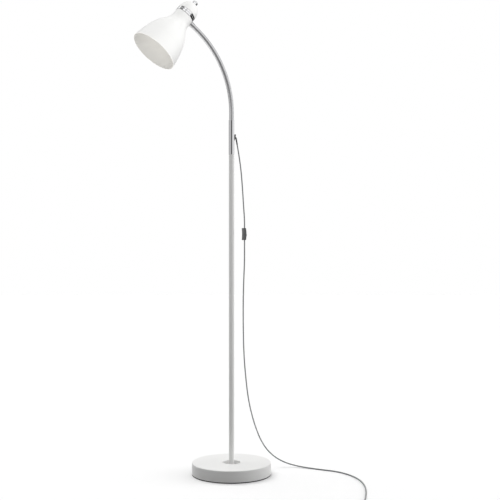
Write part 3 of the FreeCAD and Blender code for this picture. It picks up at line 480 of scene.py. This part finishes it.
def coil_points():
    """Turns of spare cord, in towards the middle and out again on top; their middle and first side."""
    before, start = Vector(cord_points[-2]), Vector(cord_points[-1])
    heading = Vector((start.x - before.x, start.y - before.y, 0)).normalized()
    outward = Vector((heading.y, -heading.x, 0))
    step = coil_pitch / 2
    outer = coil_inner_radius + step * coil_lower_half_turns
    stations = [(outer - step * k, coil_lower_z) for k in range(coil_lower_half_turns + 1)]
    stations += [(coil_inner_radius + step * k, coil_upper_z) for k in range(coil_upper_half_turns + 1)]
    centre = Vector((start.x, start.y, 0)) - outward * outer + heading * (2 * cord_radius)
    swell = 1 / math.cos(math.pi / (2 * coil_points_per_half_turn))
    points = []
    turn = 0.0
    for (r0, z0), (r1, z1) in zip(stations, stations[1:]):
        for k in range(coil_points_per_half_turn):
            share = (k + 0.5) / coil_points_per_half_turn
            angle = turn + math.pi * share
            radius = (r0 + (r1 - r0) * share) * swell
            height = z0 + (z1 - z0) * share
            points.append(centre + outward * (radius * math.cos(angle))
                          + heading * (radius * math.sin(angle)) + Vector((0, 0, height)))
        turn += math.pi
    side = math.cos(turn)
    end = centre + outward * (side * stations[-1][0]) + Vector((0, 0, coil_upper_z))
    out = heading * side
    points.append(end + out * (coil_exit_run * coil_exit_first))
    points.append(end + out * coil_exit_run)
    return points, centre, outward


def cord_curve(name, points, radius, material):
    curve = bpy.data.curves.new(name, "CURVE")
    curve.dimensions = "3D"
    curve.bevel_depth = radius
    curve.bevel_resolution = 4
    curve.resolution_u = 8
    curve.use_fill_caps = True
    spline = curve.splines.new("NURBS")
    spline.points.add(len(points) - 1)
    for point, place in zip(spline.points, points):
        point.co = (place[0], place[1], place[2], 1.0)
    spline.order_u = 3
    spline.use_endpoint_u = True
    curve.materials.append(material)
    thing = bpy.data.objects.new(name, curve)
    bpy.context.scene.collection.objects.link(thing)
    return thing


coil_route, coil_centre, coil_outward = coil_points()
cord = cord_curve("cord", cord_points + coil_route, cord_radius, cord_sheath)
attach(cord, "stand")
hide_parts("cord_upper", "cord_lower", "cord_coil")


# ---------------------------------------------------------------- pieces along the cord

weld_distance = 1e-6
flat_angle = math.radians(0.8)       # faces that turn less than this become one


def rounded(name, node_name, body, width, segments=2):
    """A moulded piece in place of its node: the same form with softened edges."""
    source = nodes[node_name]
    mesh = source.data.copy()
    mesh.name = name
    form = bmesh.new()
    form.from_mesh(mesh)
    bmesh.ops.remove_doubles(form, verts=form.verts, dist=weld_distance)
    bmesh.ops.dissolve_limit(form, angle_limit=flat_angle, verts=form.verts, edges=form.edges)
    form.to_mesh(mesh)
    form.free()
    thing = bpy.data.objects.new(name, mesh)
    bpy.context.scene.collection.objects.link(thing)
    soften(thing, width, segments)
    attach(thing, body)
    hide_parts(node_name)
    return thing


box_faces = ((0, 1, 3, 2), (4, 6, 7, 5), (0, 4, 5, 1), (2, 3, 7, 6), (0, 2, 6, 4), (1, 5, 7, 3))


def bars(name, places, size, matrix, material, width):
    """A row of small raised bars, each with rounded edges, as one piece."""
    points, faces = [], []
    for place in places:
        first = len(points)
        for sides in itertools.product((-1, 1), repeat=3):
            corner = [at + side * edge / 2 for at, side, edge in zip(place, sides, size)]
            points.append(matrix @ Vector(corner))
        for face in box_faces:
            faces.append(tuple(first + k for k in face))
    return soften(mesh_object(name, points, faces, material), width)


switch_middle = Vector((0.0438, -0.0041, 0.7595))
switch_turn = math.radians(-26.7)
rocker_tilt = math.radians(7.0)
rocker_pivot = Vector((2.7 * MM, 0, 0))
switch_matrix = Matrix.Translation(switch_middle) @ Matrix.Rotation(switch_turn, 4, "Z")
rocker_matrix = (switch_matrix @ Matrix.Translation(rocker_pivot)
                 @ Matrix.Rotation(-rocker_tilt, 4, "Y") @ Matrix.Translation(-rocker_pivot))

switch_back = rounded("switch_back_half", "switch_base", "stand",
                      width=0.5 * MM)
switch_front = rounded("switch_front_half", "switch_cover", "stand",
                       width=0.4 * MM)
rocker = rounded("rocker_key", "switch_rocker", "rocker", width=0.3 * MM)

key_face = 6.38 * MM                 # from the switch's axis to the ribs' middle, at the key's middle
key_crown = 0.5 * MM                 # how far the key's face falls back towards its ends
key_half_length = 6.9 * MM
key_rib_heights = [side * height * MM for side in (-1, 1) for height in (2.5, 3.6, 4.7, 5.8)]
key_rib_size = (0.9 * MM, 6.0 * MM, 0.45 * MM)
key_rib_places = [(key_face - key_crown * (z / key_half_length) ** 2, 0, z)
                  for z in sorted(key_rib_heights)]
rocker_ribs = bars("rocker_ribs", key_rib_places, key_rib_size, rocker_matrix, rocker_plastic,
                   width=0.15 * MM)
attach(rocker_ribs, "rocker")

plug = rounded("plug_moulding", "plug_body", "stand", width=1.6 * MM, segments=4)
pins = rounded("plug_contacts", "plug_pins", "stand", width=0.3 * MM)


def cone_rings(name, start, heading, places, radii, thick, material):
    """Small raised rings round a tapered sleeve."""
    across = Vector((0, 1, 0))
    side = heading.cross(across)
    points, faces = [], []
    around, section = 32, 8
    for place, radius in zip(places, radii):
        first = len(points)
        for i in range(around):
            turn = 2 * math.pi * i / around
            out = across * math.cos(turn) + side * math.sin(turn)
            for j in range(section):
                roll = 2 * math.pi * j / section
                points.append(start + heading * (place + thick * math.sin(roll))
                              + out * (radius + thick * math.cos(roll)))
        for i in range(around):
            for j in range(section):
                a, b = first + i * section + j, first + i * section + (j + 1) % section
                c = first + (i + 1) % around * section + (j + 1) % section
                d = first + (i + 1) % around * section + j
                faces.append((a, b, c, d))
    return mesh_object(name, points, faces, material)


relief_drop = math.radians(79.0)     # of the strain relief's axis below the level
relief_heading = Vector((math.cos(relief_drop), 0, -math.sin(relief_drop)))
relief_length = 20.0 * MM
relief_radius = 2.4 * MM             # of its rings' middle at its start, and what that loses to its end
relief_taper = 0.2 * MM
relief_ring_count = 7
relief_ring_first = 2.0 * MM
relief_ring_pitch = 2.6 * MM
relief_ring_thick = 0.32 * MM
relief_start = relief_end - relief_heading * relief_length
ring_places = [relief_ring_first + relief_ring_pitch * k for k in range(relief_ring_count)]
ring_radii = [relief_radius - relief_taper * place / relief_length for place in ring_places]
relief_rings = cone_rings("relief_rings", relief_start, relief_heading, ring_places, ring_radii,
                          relief_ring_thick, grommet_plastic)
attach(relief_rings, "stand")

# The tie: its band, and the twisted tail that closes it.
tie_band = rounded("tie_band", "coil_tie", "stand", width=0.15 * MM)
tie_turn = math.radians(200.0)       # from the coil's outward side to the tie
tie_reach = 32.1 * MM                # from the coil's middle to the tail's root
tie_height = 4.75 * MM
tail_length = 13 * MM
tail_half_turns = 2.5
tail_droop = 1.4 * MM
tail_half_width = 1.6 * MM
tail_half_thickness = 0.45 * MM
tail_steps = 40
tail_sides = 16


def twisted_tail():
    way = Matrix.Rotation(tie_turn, 3, "Z") @ coil_outward
    aside = Vector((-way.y, way.x, 0))
    turns = [2 * math.pi * j / tail_sides for j in range(tail_sides)]
    rings = []
    for k in range(tail_steps + 1):
        share = k / tail_steps
        roll = tail_half_turns * math.pi * share
        wide = aside * math.cos(roll) + Vector((0, 0, 1)) * math.sin(roll)
        thin = wide.cross(way) * tail_half_thickness
        wide = wide * tail_half_width
        middle = coil_centre + way * (tie_reach + tail_length * share)
        middle.z = tie_height - tail_droop * share ** 2
        rings.append([middle + wide * math.cos(t) + thin * math.sin(t) for t in turns])
    return skin("tie_tail", rings, tie_paper, capped=True)


tie_tail = twisted_tail()
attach(tie_tail, "stand")


# ---------------------------------------------------------------- stage, light, camera

into = Vector((math.sin(camera_azimuth), math.cos(camera_azimuth), 0.0))
right = Vector((math.cos(camera_azimuth), -math.sin(camera_azimuth), 0.0))

camera_data = bpy.data.cameras.new("camera")
camera_data.sensor_width = sensor_width_mm
camera_data.lens = focal_px / photo_width_px * sensor_width_mm
camera_data.clip_end = camera_reach
camera = bpy.data.objects.new("camera", camera_data)
camera.location = right * camera_aside - into * camera_distance + Vector((0, 0, camera_height))
camera.rotation_euler = (math.pi / 2, 0.0, -camera_azimuth)
bpy.context.scene.collection.objects.link(camera)
bpy.context.scene.camera = camera


def seen_directly(tree):
    """1 for camera, glossy and transmission rays."""
    path = tree.nodes.new("ShaderNodeLightPath")
    total = path.outputs["Is Camera Ray"]
    for name in ("Is Glossy Ray", "Is Transmission Ray"):
        add = tree.nodes.new("ShaderNodeMath")
        add.operation = "MAXIMUM"
        link(tree, total, add.inputs[0])
        link(tree, path.outputs[name], add.inputs[1])
        total = add.outputs["Value"]
    return total


floor_seen = 0.97                    # the paper's tone for the camera and in mirrors
floor_bounce = [(0.0, 0.20), (1.0, 0.60)]   # its tone for the light it throws back, outwards
floor_bounce_reach = (0.30, 1.10)    # distances from the lamp's foot between which that tone rises
floor_drop = 0.0001


def floor_material():
    material, tree, shader = new_material("floor_paper")
    shader.inputs["Roughness"].default_value = 1.0
    shader.inputs["Specular IOR Level"].default_value = 0.0
    where = tree.nodes.new("ShaderNodeTexCoord")
    reach = tree.nodes.new("ShaderNodeVectorMath")
    reach.operation = "LENGTH"
    link(tree, where.outputs["Object"], reach.inputs[0])
    outwards = rising(tree, reach.outputs["Value"], *floor_bounce_reach)
    bounce = grey_ramp(tree, outwards, floor_bounce)
    seen = mixed(tree, seen_directly(tree), bounce, grey(floor_seen))
    link(tree, seen, shader.inputs["Base Color"])
    return material


# The pale paper under the lamp, as (right, into) corners: wider than the camera sees.
paper = [(-9.0, -0.75), (0.80, -0.75), (4.4, 12.0), (-9.0, 12.0)]
floor = mesh_object("floor", [right * x + into * y for x, y in paper], [(0, 1, 2, 3)],
                    floor_material(), smooth=False)
floor.location.z = -floor_drop


def bearing(tree):
    """A ray's compass bearing from 0 to 1, its rise, and how far it heads to the camera's side.

    The bearing is 0.5 on the camera's side and 0.75 on its right.
    """
    where = tree.nodes.new("ShaderNodeTexCoord")
    parts = []
    for axis in (right, -into, Vector((0, 0, 1))):
        dot = tree.nodes.new("ShaderNodeVectorMath")
        dot.operation = "DOT_PRODUCT"
        dot.inputs[1].default_value = axis
        link(tree, where.outputs["Generated"], dot.inputs[0])
        parts.append(dot.outputs["Value"])
    angle = tree.nodes.new("ShaderNodeMath")
    angle.operation = "ARCTAN2"
    link(tree, parts[0], angle.inputs[0])
    link(tree, parts[1], angle.inputs[1])
    unit = tree.nodes.new("ShaderNodeMapRange")
    unit.inputs["From Min"].default_value = -math.pi
    unit.inputs["From Max"].default_value = math.pi
    link(tree, angle.outputs["Value"], unit.inputs["Value"])
    return unit.outputs["Result"], parts[2], parts[1]


# Brightness of the room by compass bearing, as polished and as matt surfaces meet it.
room_polished = [(0.0, 0.55), (0.167, 0.55), (0.25, 0.42), (0.333, 1.0), (0.394, 0.62),
                 (0.439, 0.10), (0.511, 0.10), (0.561, 0.42), (0.639, 0.95), (0.833, 1.0),
                 (0.93, 0.95), (1.0, 0.55)]
room_matt = [(0.0, 0.60), (0.25, 0.42), (0.375, 0.37), (0.5, 0.36), (0.625, 0.55),
             (0.75, 1.0), (0.875, 1.0), (1.0, 0.60)]
room_below_polished = [(0.0, 0.28), (0.60, 0.28), (0.69, 0.03), (0.94, 0.03), (1.0, 0.28)]
room_below_matt = 0.60
# The ceiling as polished surfaces meet it, by rise: beyond the lamp and on the camera's side.
ceiling_far = [(0.43, 0.98), (0.51, 0.40), (0.64, 0.36), (0.70, 0.98), (0.85, 0.98), (0.88, 0.22)]
ceiling_near = [(0.57, 0.98), (0.61, 0.60), (0.67, 0.60), (0.72, 0.98), (0.85, 0.98), (0.88, 0.22)]
far_to_near = (0.0, 0.2)             # rays between these meet the ceiling's two sides mixed
wall_to_ceiling = (0.26, 0.38)       # rise, from the walls' brightness to the ceiling's
floor_to_wall = (-0.06, 0.0)         # rise, from the brightness below to the walls'


def studio_world():
    """White where the camera looks; a pale room, dim on the camera's side, elsewhere."""
    world = bpy.data.worlds.new("studio")
    world.use_nodes = True
    tree = world.node_tree
    where, rise, nearer = bearing(tree)
    walls = grey_ramp(tree, where, room_polished)
    far_side = grey_ramp(tree, rise, ceiling_far)
    near_side = grey_ramp(tree, rise, ceiling_near)
    ceiling = mixed(tree, rising(tree, nearer, *far_to_near), far_side, near_side)
    polished = mixed(tree, rising(tree, rise, *wall_to_ceiling), walls, ceiling)
    matt = grey_ramp(tree, where, room_matt)
    above = rising(tree, rise, *floor_to_wall)
    polished = mixed(tree, above, grey_ramp(tree, where, room_below_polished), polished)
    matt = mixed(tree, above, grey(room_below_matt), matt)
    path = tree.nodes.new("ShaderNodeLightPath")
    room = mixed(tree, path.outputs["Is Diffuse Ray"], polished, matt)
    room = mixed(tree, path.outputs["Is Camera Ray"], room, grey(1.0))
    link(tree, room, tree.nodes["Background"].inputs["Color"])
    bpy.context.scene.world = world


studio_world()


spot_radius = 0.06
spot_blend = 0.6
white = (1.0, 1.0, 1.0)
warm_white = (1.0, 0.958, 0.89)


def place_light(name, data, toward):
    """Light aimed along a direction, and kept out of mirrors."""
    lamp = bpy.data.objects.new(name, data)
    lamp.rotation_euler = toward.to_track_quat("-Z", "Y").to_euler()
    lamp.visible_glossy = False
    bpy.context.scene.collection.objects.link(lamp)
    return lamp


def soft_sun(name, strength, toward, degrees_wide):
    """Large soft light that shines along a direction."""
    data = bpy.data.lights.new(name, "SUN")
    data.energy = strength
    data.angle = math.radians(degrees_wide)
    place_light(name, data, toward)


def soft_spot(name, power, place, target, degrees_wide, colour):
    """Soft round lamp at a place, aimed at a target."""
    data = bpy.data.lights.new(name, "SPOT")
    data.energy = power
    data.color = colour
    data.shadow_soft_size = spot_radius
    data.spot_size = math.radians(degrees_wide)
    data.spot_blend = spot_blend
    place_light(name, data, target - place).location = place


up = Vector((0, 0, 1))
shade_middle_height = 80 * MM        # in the head's own measure, from the rim
rim_middle_height = 10 * MM
shade_middle = head_matrix @ Vector((0, 0, shade_middle_height))
rim_middle = head_matrix @ Vector((0, 0, rim_middle_height))
head_axis = head_matrix.to_3x3() @ up
overhead_way = -up + right * 0.40 - into * 0.35
side_way = -right - into * 0.15 - up * 0.15
head_light_side = (-into * 0.90 + right * 0.33 + up * 0.26).normalized()
head_light_distance = 1.6
head_light_place = shade_middle + head_light_side * head_light_distance
bell_light_place = rim_middle - head_axis * 1.15 - into * 0.30

soft_sun("overhead", strength=1.42, toward=overhead_way, degrees_wide=45)
soft_sun("right_side", strength=0.86, toward=side_way, degrees_wide=40)
soft_spot("head_light", power=47, place=head_light_place, target=shade_middle, degrees_wide=18,
          colour=white)
soft_spot("bell_light", power=43, place=bell_light_place, target=rim_middle, degrees_wide=17,
          colour=warm_white)

bpy.context.scene.view_settings.view_transform = "Standard"
